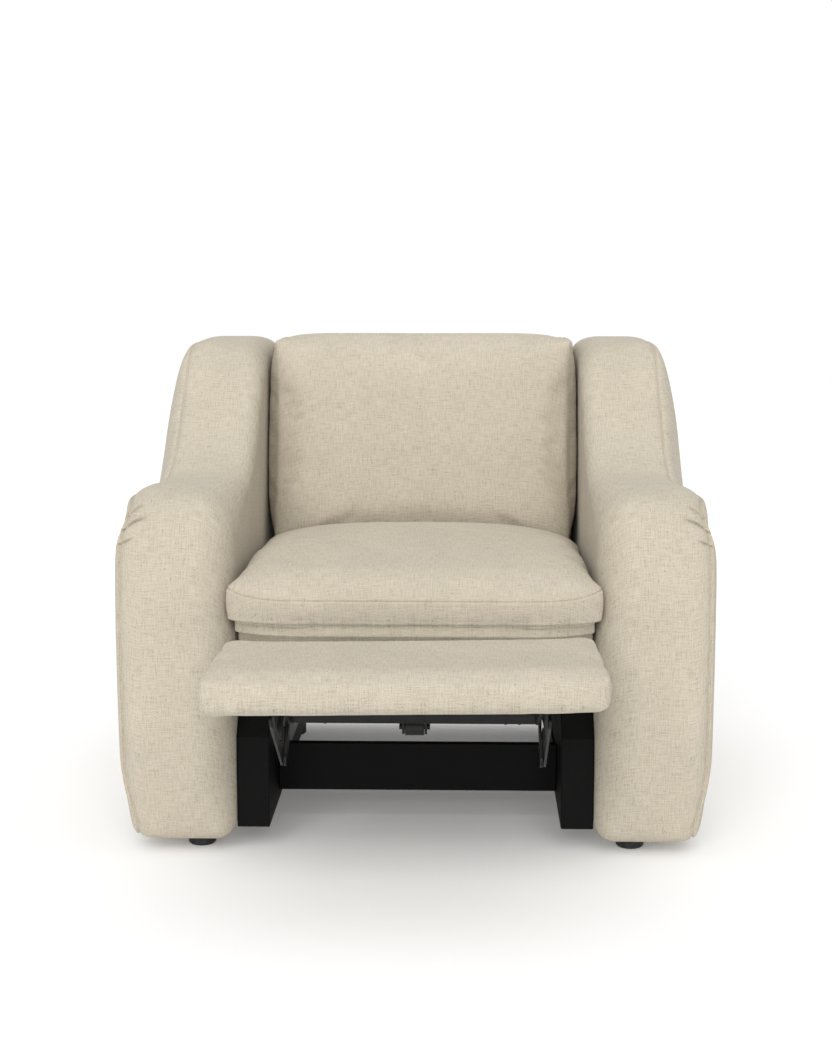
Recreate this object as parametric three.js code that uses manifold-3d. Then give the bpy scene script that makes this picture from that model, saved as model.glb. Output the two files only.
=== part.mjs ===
// Power recliner armchair: two winged arms on a low base, a seat carriage that glides forward on
// swing links while the back leans, and a footrest carried by a folding plate linkage.
// Millimetres, +Z up. X runs across the chair and the sitter faces -Y. Side shapes are drawn in
// (depth, height), with depth 0 at the front plane of the arms. The footrest is drawn open.
import * as THREE from 'three';
import { mergeVertices } from 'three/addons/utils/BufferGeometryUtils.js';
import Module from 'manifold-3d';

const wasm = await Module();
wasm.setup();

// Driving dimensions.
const DEPTH_TO_ROW = -292.5;
const GAP = 0.3;
const WIDTH = 1016;
const HEIGHT = 864;
const ARM_INNER = 306;
const ARM_REAR = 960;
const ARM_BOTTOM = 20;
const ARM_ROUND = 36;
const CAVITY = { inner: 322, outer: 478, front: 56, rear: 915, top: 532 };
const SEAT_HALF = 303;
const BACK_HALF = 303;
const PAD_HALF = 296;
const PAD = { front: -375, rear: -100, bottom: 345, top: 405 };
const BOARD_THICK = 15;
const PLATE = 4;

// Linkage pivots in (depth, height), footrest open.
const DRIVE_PIVOT = [135, 300];
const DRIVE_LENGTH = 205;
const DRIVE_ANGLE = 211.4;
const KNEE = polar(DRIVE_PIVOT, DRIVE_LENGTH, DRIVE_ANGLE);
const PAD_PIVOT = [-203.061, 297];
const GUIDE_PIVOT = [194.87, 296.04];
const GUIDE_END = [3.07, 222.99];
const STEER_START = [6.01, 249.62];
const STEER_END = [-155.07, 310.96];
const TUBE_AT = polar(DRIVE_PIVOT, 103, DRIVE_ANGLE);
const TUBE = 22;
const CRANK_PIN = [60, 222];
const MOTOR_EYE = [560, 230];
const SWING_LENGTH = 85;
const SWING_ANGLE = 18;
const SWING_FRONT = [300, 110];
const SWING_REAR = [590, 110];
const BACK_PIVOT = [620, 330];
const BACK_CRANK = [710, 280];
const BACK_MOTOR_X = 110;

// Planes of the mechanism's plates, as distances from the chair's middle.
const PLANE = {
  steer: [202.5, 206.5],
  drive: [208, 212],
  knee: [213.5, 217.5],
  guide: [219, 223],
  side: [226, 230],
  hinge: [231.5, 235.5],
  swing: [239, 243],
  base: [245.7, 249.7],
};
const PIN_R = 5;
const HOLE_R = 5.3;
const HEAD_R = 8;
const HEAD = 0.9;

const chair = new THREE.Group();
chair.position.y = DEPTH_TO_ROW;

function polar(from, length, degrees) {
  const a = THREE.MathUtils.degToRad(degrees);
  return [from[0] + length * Math.cos(a), from[1] + length * Math.sin(a)];
}

function paint(color, roughness, metalness = 0) {
  return new THREE.MeshStandardMaterial({ color, roughness, metalness });
}
const linen = () => paint(0xb8a892, 0.95);
const blackSteel = () => paint(0x1c1c1e, 0.5, 0.6);
const blackRail = () => paint(0x232324, 0.6, 0.2);
const plywood = () => paint(0xc9a877, 0.8);
const blackPlastic = () => paint(0x17181a, 0.55);
const zinc = () => paint(0x9b9d9f, 0.4, 0.9);

// A closed mesh geometry as a solid, with its faces turned outwards.
function solid(geometry) {
  const bare = geometry.index ? geometry.toNonIndexed() : geometry;
  const points = new THREE.BufferGeometry();
  points.setAttribute('position', bare.getAttribute('position'));
  const merged = mergeVertices(points, 1e-4);
  const v = merged.getAttribute('position').array;
  const tri = Uint32Array.from(merged.index.array);
  let volume = 0;
  for (let i = 0; i < tri.length; i += 3) {
    const [a, b, c] = [tri[i] * 3, tri[i + 1] * 3, tri[i + 2] * 3];
    volume += v[a] * (v[b + 1] * v[c + 2] - v[b + 2] * v[c + 1]);
    volume += v[a + 1] * (v[b + 2] * v[c] - v[b] * v[c + 2]);
    volume += v[a + 2] * (v[b] * v[c + 1] - v[b + 1] * v[c]);
  }
  if (volume < 0) {
    for (let i = 0; i < tri.length; i += 3) {
      [tri[i + 1], tri[i + 2]] = [tri[i + 2], tri[i + 1]];
    }
  }
  const mesh = new wasm.Mesh({ numProp: 3, vertProperties: Float32Array.from(v), triVerts: tri });
  return new wasm.Manifold(mesh);
}

function join(first, ...others) {
  return others.reduce((sum, next) => sum.add(next), first);
}

function cut(first, ...others) {
  return others.reduce((rest, next) => rest.subtract(next), first);
}

function add(name, shape, material) {
  const { vertProperties, triVerts } = shape.getMesh();
  const geometry = new THREE.BufferGeometry();
  geometry.setAttribute('position', new THREE.BufferAttribute(vertProperties, 3));
  geometry.setIndex(new THREE.BufferAttribute(triVerts, 1));
  geometry.computeVertexNormals();
  const mesh = new THREE.Mesh(geometry, material);
  mesh.name = name;
  chair.add(mesh);
  return mesh;
}

// Puts a shape drawn in (depth, height) and extruded upwards onto the X axis.
const ACROSS = new THREE.Matrix4().makeBasis(
  new THREE.Vector3(0, 1, 0),
  new THREE.Vector3(0, 0, 1),
  new THREE.Vector3(1, 0, 0),
);

function outline(points) {
  return new THREE.Shape(points.map(([u, v]) => new THREE.Vector2(u, v)));
}

function smooth(points, count) {
  const curve = new THREE.CatmullRomCurve3(points.map(([u, v]) => new THREE.Vector3(u, v, 0)));
  return curve.getPoints(count).map((p) => [p.x, p.y]);
}

// A side shape extruded from x0 to x1, with its long edges rounded by `round`.
function slab(shape, x0, x1, round = 0, steps = 3) {
  const low = Math.min(x0, x1);
  const high = Math.max(x0, x1);
  const geometry = new THREE.ExtrudeGeometry(shape, {
    depth: high - low - 2 * round,
    bevelEnabled: round > 0,
    bevelThickness: round,
    bevelSize: round,
    bevelOffset: -round,
    bevelSegments: steps,
    curveSegments: 5,
  });
  geometry.translate(0, 0, low + round);
  geometry.applyMatrix4(ACROSS);
  return solid(geometry);
}

function block(x0, x1, y0, y1, z0, z1) {
  const geometry = new THREE.BoxGeometry(Math.abs(x1 - x0), y1 - y0, z1 - z0);
  geometry.translate((x0 + x1) / 2, (y0 + y1) / 2, (z0 + z1) / 2);
  return solid(geometry);
}

// A round bar along X at a (depth, height) point.
function bar(at, radius, x0, x1, sides = 10) {
  const geometry = new THREE.CylinderGeometry(radius, radius, Math.abs(x1 - x0), sides);
  geometry.rotateZ(Math.PI / 2);
  geometry.translate((x0 + x1) / 2, at[0], at[1]);
  return solid(geometry);
}

// A plate with round ends between two points.
function strap(a, b, width, x0, x1) {
  const along = Math.atan2(b[1] - a[1], b[0] - a[0]);
  const shape = new THREE.Shape();
  shape.absarc(a[0], a[1], width / 2, along + Math.PI / 2, along + 1.5 * Math.PI, false);
  shape.absarc(b[0], b[1], width / 2, along - Math.PI / 2, along + Math.PI / 2, false);
  shape.closePath();
  return slab(shape, x0, x1);
}

const SIDES = [['l', -1], ['r', 1]];

// Arms: one padded side from floor gap to wing, hollow from below around a plywood side.
const ARM_PROFILE = smooth([
  [36, 60], [14, 170], [2, 290], [0, 370], [4, 450], [14, 520], [32, 572], [62, 603], [108, 618],
  [180, 622], [290, 622], [350, 634], [420, 672], [500, 740], [556, 797], [604, 832], [660, 847],
  [730, 850], [830, 850], [900, 843], [938, 822], [954, 785],
], 40);
const armOutline = [[44, ARM_BOTTOM], ...ARM_PROFILE, [ARM_REAR, 740], [ARM_REAR, ARM_BOTTOM]];

for (const [tag, s] of SIDES) {
  const shell = slab(outline(armOutline.slice().reverse()), s * ARM_INNER, s * WIDTH / 2, ARM_ROUND, 3);
  const hollow = block(s * CAVITY.inner, s * CAVITY.outer, CAVITY.front, CAVITY.rear, 0, CAVITY.top);
  let cover = cut(shell, hollow);
  if (s < 0) {
    cover = cut(cover, block(-WIDTH / 2 - 5, -CAVITY.outer - 12, 170, 290, 455, 505));
  }
  add(`arm_cover_${tag}`, cover, linen());
  add(`arm_panel_${tag}`, block(s * 322.3, s * 338.3, 56.3, 900, 30, 530), plywood());
  add(`arm_post_${tag}`, block(s * 338.6, s * 404, 56.3, 140, 26.3, 530), plywood());
  add(`foot_front_${tag}`, solid(footShape(26).translate(s * 371, 113, 0)), blackPlastic());
  add(`foot_rear_${tag}`, solid(footShape(37.7).translate(s * 278, 870, 0)), blackPlastic());

  // Base side: a tall black rail at the front that steps down behind the carriage.
  const railShape = outline([
    [81, 38], [930, 38], [930, 122], [660, 122], [640, 235], [120, 235], [81, 196],
  ]);
  add(`base_rail_${tag}`, slab(railShape, s * 250, s * 305.6, 1.5, 1), blackRail());

  const [b0, b1] = PLANE.base;
  const [w0, w1] = PLANE.swing;
  const plate = join(
    block(s * b0, s * b1, 270, 640, 92, 128),
    ...[SWING_FRONT, SWING_REAR].flatMap((at) => [
      bar(at, HEAD_R, s * (w1 + GAP), s * (b0 + 1)),
      bar(at, PIN_R, s * (w0 - 1), s * (b0 + 1)),
      bar(at, HEAD_R, s * (w0 - GAP - HEAD), s * (w0 - GAP)),
    ]),
  );
  add(`base_plate_${tag}`, plate, blackSteel());

  for (const [end, at] of [['front', SWING_FRONT], ['rear', SWING_REAR]]) {
    const top = swingTop(at);
    const link = cut(
      strap(at, top, 24, s * w0, s * w1),
      bar(at, HOLE_R, s * (w0 - 2), s * (w1 + 2)),
      bar(top, HOLE_R, s * (w0 - 2), s * (w1 + 2)),
    );
    add(`swing_link_${end}_${tag}`, link, blackSteel());
  }
}

function footShape(height) {
  const points = [[0, 0], [21, 0], [24, 3], [24, height - 6], [22, height], [0, height]];
  const geometry = new THREE.LatheGeometry(points.map(([r, h]) => new THREE.Vector2(r, h)), 16);
  geometry.rotateX(Math.PI / 2);
  return geometry;
}

function swingTop(at) {
  return polar(at, SWING_LENGTH, 90 - SWING_ANGLE);
}

add('front_stretcher', slab(outline([[236, 60], [256, 60], [256, 145], [236, 145]]), -249.7, 249.7, 2, 1),
  blackSteel());
add('rear_stretcher', slab(outline([[880, 60], [900, 60], [900, 120], [880, 120]]), -249.7, 249.7, 2, 1),
  blackSteel());
add('rear_skirt', cut(
  slab(outline([[943, 62], [956, 62], [956, 292], [943, 292]]), -305.4, 305.4, 3, 1),
  block(-235, -195, 930, 970, 95, 125),
), linen());
add('power_inlet', join(
  block(-234.6, -195.4, 940, 957, 95.4, 124.6),
  block(-229, -201, 925, 941, 101, 119),
), blackPlastic());

// Control panel on the outer side of one arm, with two sprung buttons in its window.
const panelBody = block(-503, -490.4, 172, 288, 457, 503);
const wells = [block(-504, -496, 186, 222, 468, 492), block(-504, -496, 238, 274, 468, 492)];
add('control_panel', cut(panelBody, ...wells), blackPlastic());
add('button_open', slab(roundRect(186.5, 221.5, 468.5, 491.5, 4), -504, -499.2), zinc());
add('button_close', slab(roundRect(238.5, 273.5, 468.5, 491.5, 4), -504, -499.2), zinc());

function roundRect(u0, u1, v0, v1, r) {
  const shape = new THREE.Shape();
  shape.absarc(u1 - r, v1 - r, r, 0, Math.PI / 2, false);
  shape.absarc(u0 + r, v1 - r, r, Math.PI / 2, Math.PI, false);
  shape.absarc(u0 + r, v0 + r, r, Math.PI, 1.5 * Math.PI, false);
  shape.absarc(u1 - r, v0 + r, r, 1.5 * Math.PI, 2 * Math.PI, false);
  shape.closePath();
  return shape;
}

// Seat carriage: a plate each side, a rail frame, a deck and the cushion.
for (const [tag, s] of SIDES) {
  const [p0, p1] = PLANE.side;
  const front = swingTop(SWING_FRONT);
  const rear = swingTop(SWING_REAR);
  const body = slab(outline([
    [112, 284], [150, 268], [262, 268], [front[0] - 16, 230], [front[0] - 15, front[1] - 15],
    [front[0] + 15, front[1] - 15], [front[0] + 22, 240], [360, 272], [520, 272], [536, 230],
    [536, 140], [590, 140], [rear[0] + 18, rear[1] - 16], [rear[0] + 20, 250], [650, 316],
    [646, 352], [612, 362], [596, 380], [134, 380], [130, 330], [112, 316],
  ]), s * p0, s * p1);
  const stub = (at, reach, pinEnd, headAt) => [
    bar(at, HEAD_R, s * reach[0], s * reach[1]),
    bar(at, PIN_R, s * pinEnd[0], s * pinEnd[1]),
    bar(at, HEAD_R, s * headAt[0], s * headAt[1]),
  ];
  const inward = (at, plane) => stub(
    at,
    [plane[1] + GAP, p0 + 1],
    [plane[0] - 1, p0 + 1],
    [plane[0] - GAP - HEAD, plane[0] - GAP],
  );
  const outward = (at, plane) => stub(
    at,
    [p1 - 1, plane[0] - GAP],
    [p1 - 1, plane[1] + 1],
    [plane[1] + GAP, plane[1] + GAP + HEAD],
  );
  add(`side_plate_${tag}`, join(
    body,
    ...inward(DRIVE_PIVOT, PLANE.drive),
    ...inward(GUIDE_PIVOT, PLANE.guide),
    ...outward(front, PLANE.swing),
    ...outward(rear, PLANE.swing),
    ...outward(BACK_PIVOT, PLANE.hinge),
  ), blackSteel());
  add(`seat_rail_${tag}`, block(s * 230.3, s * 292, 128.3, 598, 345, 395), plywood());
}
add('seat_rail_front', block(-292, 292, 95, 128, 345, 395), plywood());
add('seat_rail_rear', block(-225.7, 225.7, 560, 598, 345, 395), plywood());
add('seat_deck', block(-292, 292, 90, 598, 395.3, 400), plywood());

const seatOutline = [[-10, 401.5], [-20, 424], [-19, 444], ...smooth([
  [-6, 462], [60, 480], [160, 497], [300, 511], [430, 516], [500, 508],
], 14), [530, 480], [542, 440], [542, 401.5]];
add('seat_cushion', slab(outline(seatOutline.slice().reverse()), -SEAT_HALF, SEAT_HALF, 12, 3), linen());

// Rear crossbar of the carriage: a square tube with slotted ears for both motors.
const ear = (x0, x1) => cut(
  slab(outline([[544, 170], [576, 170], [576, 246], [544, 246]]), x0, x1),
  slab(slot(MOTOR_EYE[0], MOTOR_EYE[1] - 21, MOTOR_EYE[1] + 5, HOLE_R + 3.7), x0 - 1, x1 + 1),
);
add('motor_crossbar', join(
  block(-225.7, 225.7, 548, 572, 150, 174),
  ear(-34, -30),
  ear(30, 34),
  ear(BACK_MOTOR_X - 30, BACK_MOTOR_X - 26),
  ear(BACK_MOTOR_X + 26, BACK_MOTOR_X + 30),
), blackSteel());

function slot(u, v0, v1, r) {
  const shape = new THREE.Shape();
  shape.absarc(u, v1, r, 0, Math.PI, false);
  shape.absarc(u, v0, r, Math.PI, 2 * Math.PI, false);
  shape.closePath();
  return shape;
}

// Back: posts and rails behind a leaning cushion, closed by an upholstered outer shell.
const LEAN = 0.237;
const behind = (offset, z) => 722 + offset + (z - 521) * LEAN;
for (const [tag, s] of SIDES) {
  const post = outline([
    [behind(4, 345), 345], [behind(40, 345), 345], [behind(40, 838), 838], [behind(4, 838), 838],
  ]);
  add(`back_post_${tag}`, slab(post, s * 236, s * 286), plywood());
  const [h0, h1] = PLANE.hinge;
  const arm = join(
    strap(BACK_PIVOT, [behind(20, 372), 372], 34, s * h0, s * h1),
    bar(BACK_PIVOT, 20, s * h0, s * h1, 16),
  );
  add(`back_bracket_${tag}`, cut(arm, bar(BACK_PIVOT, HOLE_R, s * (h0 - 2), s * (h1 + 2))), blackSteel());
}
const railAt = (z0, z1) => outline([
  [behind(4, z0), z0], [behind(40, z0), z0], [behind(40, z1), z1], [behind(4, z1), z1],
]);
add('back_rail_top', slab(railAt(788, 838), -235.7, 235.7), plywood());
const crankEar = (x0, x1) => slab(outline([
  [behind(6, 404), 404], [BACK_CRANK[0] - 12, BACK_CRANK[1] + 6], [BACK_CRANK[0] - 9, BACK_CRANK[1] - 9],
  [BACK_CRANK[0] + 9, BACK_CRANK[1] - 9], [BACK_CRANK[0] + 12, BACK_CRANK[1] + 6], [behind(36, 404), 404],
]), x0, x1);
add('back_rail_bottom', join(
  slab(railAt(400, 440), -235.7, 235.7),
  crankEar(BACK_MOTOR_X - 16, BACK_MOTOR_X - 12),
  crankEar(BACK_MOTOR_X + 12, BACK_MOTOR_X + 16),
  bar(BACK_CRANK, PIN_R, BACK_MOTOR_X - 15, BACK_MOTOR_X + 15),
), blackSteel());

const shellOutline = [
  [behind(4, 849), 849], [behind(60, 862), 858], [900, 852], [928, 834], [938, 800], [940, 760],
  [940, 300], [928, 300], [928, 760], [924, 798], [914, 824], [896, 840], [behind(6, 843), 842],
];
const cheekOutline = [
  [behind(6, 330), 300], [934, 300], [934, 760], [924, 804], [904, 832], [880, 844], [behind(6, 844), 844],
];
add('back_cover', join(
  slab(outline(shellOutline.slice().reverse()), -BACK_HALF, BACK_HALF),
  slab(outline(cheekOutline), -BACK_HALF, -BACK_HALF + 12),
  slab(outline(cheekOutline), BACK_HALF - 12, BACK_HALF),
), linen());

const backOutline = [[566, 452], ...smooth([
  [550, 476], [556, 540], [570, 610], [589, 695], [608, 775], [626, 832], [652, 857], [702, 864],
  [756, 861],
], 20), [788, 850], [797, 826], [770, 716], [746, 616], [716, 505], [696, 452]];
add('back_cushion', slab(outline(backOutline.slice().reverse()), -BACK_HALF, BACK_HALF, 14, 3), linen());

// Footrest linkage, one set of plates each side.
for (const [tag, s] of SIDES) {
  const x = (plane, from = 0, to = 0) => [s * (plane[0] + from), s * (plane[1] + to)];
  const hole = (at, plane) => bar(at, HOLE_R, ...x(plane, -2, 2));
  const pinOut = (at, plane, through) => [
    bar(at, PIN_R, s * (plane[1] - 1), s * (through[1] + 1)),
    bar(at, HEAD_R, s * (through[1] + GAP), s * (through[1] + GAP + HEAD)),
  ];
  const pinIn = (at, plane, through) => [
    bar(at, PIN_R, s * (plane[0] + 1), s * (through[0] - 1)),
    bar(at, HEAD_R, s * (through[0] - GAP - HEAD), s * (through[0] - GAP)),
  ];
  const rivetOut = (at, plane) => bar(at, HEAD_R, s * (plane[1] - 1), s * (plane[1] + HEAD));
  const rivetIn = (at, plane) => bar(at, HEAD_R, s * (plane[0] - HEAD), s * (plane[0] + 1));

  add(`drive_link_${tag}`, cut(
    join(
      strap(DRIVE_PIVOT, KNEE, 26, ...x(PLANE.drive)),
      strap(polar(DRIVE_PIVOT, 120, DRIVE_ANGLE), STEER_START, 22, ...x(PLANE.drive)),
      ...pinOut(KNEE, PLANE.drive, PLANE.knee),
      ...pinIn(STEER_START, PLANE.drive, PLANE.steer),
    ),
    hole(DRIVE_PIVOT, PLANE.drive),
  ), blackSteel());
  add(`guide_link_${tag}`, cut(
    join(strap(GUIDE_PIVOT, GUIDE_END, 20, ...x(PLANE.guide)), rivetOut(GUIDE_END, PLANE.guide)),
    hole(GUIDE_PIVOT, PLANE.guide),
  ), blackSteel());
  add(`knee_link_${tag}`, cut(
    join(
      strap(KNEE, PAD_PIVOT, 24, ...x(PLANE.knee)),
      strap(KNEE, GUIDE_END, 24, ...x(PLANE.knee)),
      rivetIn(GUIDE_END, PLANE.knee),
    ),
    hole(KNEE, PLANE.knee),
    hole(PAD_PIVOT, PLANE.knee),
  ), blackSteel());
  add(`steer_link_${tag}`, cut(
    join(strap(STEER_START, STEER_END, 20, ...x(PLANE.steer)), rivetIn(STEER_END, PLANE.steer)),
    hole(STEER_START, PLANE.steer),
  ), blackSteel());

  const underBoard = PAD.bottom - BOARD_THICK - GAP;
  const hanger = slab(outline([
    [-232, underBoard], [-226, 306], [-214, 286.6], [-203, 285], [-192, 288], [-150, 301],
    [-143.5, 310], [-128, underBoard],
  ].reverse()), ...x(PLANE.drive));
  add(`footrest_bracket_${tag}`, join(
    hanger,
    block(s * 208, s * 238, -262, -118, underBoard - PLATE, underBoard),
    ...pinOut(PAD_PIVOT, PLANE.drive, PLANE.knee),
    rivetOut(STEER_END, PLANE.drive),
  ), blackSteel());
}

const boardNotch = (s) => block(s * 199, s * 207.7, -205, -100, 325, 339);
add('footrest_board', cut(
  block(-284, 284, PAD.front + 12, PAD.rear - 8, PAD.bottom - BOARD_THICK, PAD.bottom - GAP),
  boardNotch(-1),
  boardNotch(1),
), plywood());
const padOutline = [[-366, 345], [-375, 364], [-374, 384], ...smooth([
  [-358, 399], [-310, 403], [-240, 405], [-170, 404], [-118, 399],
], 8), [-102, 384], [-100, 364], [-109, 345]];
add('footrest_pad', slab(outline(padOutline.slice().reverse()), -PAD_HALF, PAD_HALF, 12, 3), linen());

// Drive tube between the two drive links, with the clevis that the motor pushes.
const tubeGeometry = new THREE.BoxGeometry(2 * (PLANE.drive[0] - GAP), TUBE, TUBE);
tubeGeometry.rotateX(THREE.MathUtils.degToRad(DRIVE_ANGLE));
tubeGeometry.translate(0, TUBE_AT[0], TUBE_AT[1]);
add('drive_tube', join(
  solid(tubeGeometry),
  strap(TUBE_AT, CRANK_PIN, 26, -21, -17),
  strap(TUBE_AT, CRANK_PIN, 26, 17, 21),
  bar(CRANK_PIN, PIN_R, -26, 26),
), blackSteel());

// Linear actuators, drawn along their own +Y from the pin that pushes.
function place(mesh, x, from, to) {
  mesh.position.set(x, from[0], from[1]);
  mesh.rotation.x = Math.atan2(to[1] - from[1], to[0] - from[0]);
}

function rod(radius, eye, length, half) {
  const shaft = new THREE.CylinderGeometry(radius, radius, length - 6, 14);
  shaft.translate(0, 6 + (length - 6) / 2, 0);
  return cut(join(solid(shaft), bar([0, 0], eye, -half, half, 14)), bar([0, 0], HOLE_R, -20, 20));
}

function turned(radius, y0, y1) {
  const geometry = new THREE.CylinderGeometry(radius, radius, y1 - y0, 16);
  geometry.translate(0, (y0 + y1) / 2, 0);
  return solid(geometry);
}

place(add('footrest_rod', rod(10, 15, 300, 16), blackSteel()), 0, CRANK_PIN, MOTOR_EYE);
place(add('footrest_motor', cut(
  join(
    turned(16, 150, 425),
    block(-26, 26, 415, 484, -24, 26),
    bar([450, 0], 23, -118, -20, 16),
    block(-10, 10, 480, 506, -9, 9),
    bar([Math.hypot(500, 8), 0], PIN_R, -37, 37),
  ),
  turned(11.5, 148, 420),
), blackPlastic()), 0, CRANK_PIN, MOTOR_EYE);

const BACK_REACH = Math.hypot(MOTOR_EYE[0] - BACK_CRANK[0], MOTOR_EYE[1] - BACK_CRANK[1]);
place(add('back_rod', rod(8, 12, 230, 10.5), zinc()), BACK_MOTOR_X, BACK_CRANK, MOTOR_EYE);
place(add('back_motor', cut(
  join(
    turned(15, 128, 335),
    block(-20, 20, BACK_REACH - 18, BACK_REACH + 18, -18, 18),
    block(-25, 25, 266, 328, -25, 25),
    bar([297, -26], 22, -84, -20, 16),
    bar([BACK_REACH, 0], PIN_R, -33, 33),
  ),
  turned(9.5, 120, 330),
), blackPlastic()), BACK_MOTOR_X, BACK_CRANK, MOTOR_EYE);

export default chair;
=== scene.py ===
# %% [markdown]
# # A power recliner armchair, footrest open
# The mechanism comes from an engineering model whose parts are loaded as a fixed frame. This lesson
# dresses it: the linen upholstery is modelled here as soft goods, and each metal, timber and plastic
# part gets the finish that the real one has. Everything is in metres, +Z up, and the sitter faces -Y.

# %% Load the frame and keep its box
import math

import bmesh
import bpy
import numpy as np
from mathutils import Matrix, Vector


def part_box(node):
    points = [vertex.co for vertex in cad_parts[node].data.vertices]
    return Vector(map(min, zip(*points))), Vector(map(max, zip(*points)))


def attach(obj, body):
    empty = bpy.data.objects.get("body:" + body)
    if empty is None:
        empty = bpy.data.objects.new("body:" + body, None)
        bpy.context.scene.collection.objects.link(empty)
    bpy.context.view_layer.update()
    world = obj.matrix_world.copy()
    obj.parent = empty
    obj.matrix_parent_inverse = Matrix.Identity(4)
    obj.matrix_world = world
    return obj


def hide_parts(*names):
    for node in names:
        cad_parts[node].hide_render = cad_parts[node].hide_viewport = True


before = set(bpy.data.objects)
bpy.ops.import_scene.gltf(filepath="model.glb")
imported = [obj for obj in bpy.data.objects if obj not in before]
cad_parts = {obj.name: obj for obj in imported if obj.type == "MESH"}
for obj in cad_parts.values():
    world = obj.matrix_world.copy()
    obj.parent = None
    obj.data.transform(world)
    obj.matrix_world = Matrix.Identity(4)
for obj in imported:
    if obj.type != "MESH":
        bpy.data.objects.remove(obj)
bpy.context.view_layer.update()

# %% [markdown]
# Upholsterers measure a chair from the front plane of its arms. The frame's origin is under the middle
# of the whole chair instead, so one number turns a depth behind the arm fronts into a Y position.

# %% A place on the chair
MM = 0.001
ARM_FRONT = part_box("arm_cover_r")[0].y


def place(across, depth, up):
    """A point given in millimetres: across the chair, behind the arm fronts, above the floor."""
    return Vector((across * MM, ARM_FRONT + depth * MM, up * MM))


print("arm fronts at y =", round(ARM_FRONT, 4))

# %% [markdown]
# ## Camera
# A product picture like this is taken from about three metres with a lens a little longer than normal,
# from just above the chair's height, tilted down and a touch from one side.

# %% The camera
CAMERA_LENS = 64.1
CAMERA_HEIGHT = 1001
CAMERA_PITCH = math.radians(7.94)
CAMERA_YAW = math.radians(1.48)

camera_data = bpy.data.cameras.new("studio_camera")
camera_data.lens = CAMERA_LENS
camera_data.sensor_width = 36.0
camera_data.clip_end = 50.0
camera = bpy.data.objects.new("studio_camera", camera_data)
camera.location = place(81.3, -2999, CAMERA_HEIGHT)
camera.rotation_euler = (math.pi / 2 - CAMERA_PITCH, 0.0, CAMERA_YAW)
bpy.context.scene.collection.objects.link(camera)
bpy.context.scene.camera = camera

# %% [markdown]
# ## Studio
# The chair stands on a white sweep. The world is what a white studio gives: exactly white behind the
# chair, so that there is no horizon, and as light brighter from above than from the sides. Two very
# soft suns add a little light from straight above and more from over the camera, which reaches into
# the seat and back.

# %% World and lamps
scene = bpy.context.scene
scene.view_settings.view_transform = "Standard"
LOW_LIGHT, HIGH_LIGHT = 0.42, 0.85


def white_studio():
    """A world that is plain white to look at and lights from above."""
    world = bpy.data.worlds.new("white_studio")
    world.use_nodes = True
    tree = world.node_tree
    backdrop = tree.nodes["Background"]
    ambient = tree.nodes.new("ShaderNodeBackground")
    direction = tree.nodes.new("ShaderNodeTexCoord")
    split = tree.nodes.new("ShaderNodeSeparateXYZ")
    fall = tree.nodes.new("ShaderNodeMapRange")
    path = tree.nodes.new("ShaderNodeLightPath")
    either = tree.nodes.new("ShaderNodeMixShader")
    backdrop.inputs["Color"].default_value = (1.0, 1.0, 1.0, 1.0)
    ambient.inputs["Color"].default_value = (1.0, 1.0, 1.0, 1.0)
    fall.inputs["From Min"].default_value = -0.1
    fall.inputs["To Min"].default_value = LOW_LIGHT
    fall.inputs["To Max"].default_value = HIGH_LIGHT
    for source, target in (
        (direction.outputs["Generated"], split.inputs[0]),
        (split.outputs["Z"], fall.inputs["Value"]),
        (fall.outputs["Result"], ambient.inputs["Strength"]),
        (path.outputs["Is Camera Ray"], either.inputs["Fac"]),
        (ambient.outputs[0], either.inputs[1]),
        (backdrop.outputs[0], either.inputs[2]),
        (either.outputs[0], tree.nodes["World Output"].inputs["Surface"]),
    ):
        tree.links.new(source, target)
    return world


def lamp(name, kind, location, aim, energy, size):
    """A lamp looking at a point; size is metres for a soft box and degrees for a sun."""
    data = bpy.data.lights.new(name, kind)
    data.energy = energy
    if kind == "SUN":
        data.angle = math.radians(size)
    else:
        data.size = size
    light = bpy.data.objects.new(name, data)
    light.location = location
    light.rotation_euler = (Vector(aim) - Vector(location)).to_track_quat("-Z", "Y").to_euler()
    bpy.context.scene.collection.objects.link(light)
    return light


scene.world = white_studio()
lamp("overhead_key", "SUN", (0.2, -0.8, 3.0), (0.0, 0.0, 0.3), 0.35, 60)
lamp("front_key", "SUN", (-0.2, -2.4, 1.7), (0.0, 0.0, 0.4), 1.95, 50)

# %% [markdown]
# ## Colours and nodes
# Paint and fabric colours are picked as sRGB hex values, and shaders work in linear light, so one
# function converts them. A second small function adds a shader node, sets it and links it.

# %% Colour and node helpers


def linear(hex_colour, alpha=1.0):
    """sRGB hex to a linear RGBA tuple."""
    parts = [int(hex_colour[i:i + 2], 16) / 255 for i in (1, 3, 5)]
    light = [c / 12.92 if c <= 0.04045 else ((c + 0.055) / 1.055) ** 2.4 for c in parts]
    return (*light, alpha)


def add_node(material, kind, settings=None, values=None, links=None):
    """Adds one node: settings are attributes, values are socket values, links are socket sources."""
    tree = material.node_tree
    node = tree.nodes.new(kind)
    for key, value in (settings or {}).items():
        setattr(node, key, value)
    for key, value in (values or {}).items():
        node.inputs[key].default_value = value
    for key, source in (links or {}).items():
        tree.links.new(source, node.inputs[key])
    return node


def new_material(name):
    """An empty material and its Principled shader."""
    material = bpy.data.materials.new(name)
    material.use_nodes = True
    return material, material.node_tree.nodes["Principled BSDF"]


# %% [markdown]
# ## Linen
# The cover is a plain-woven linen blend in oatmeal. Flax yarns vary in thickness and shade along their
# length, so the cloth shows short streaks both ways, a fine grain, a few brown flecks, and no gloss.
# Real yarns are about 0.9 mm apart, too fine to show from three metres, so they are drawn 2 mm apart.

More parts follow.
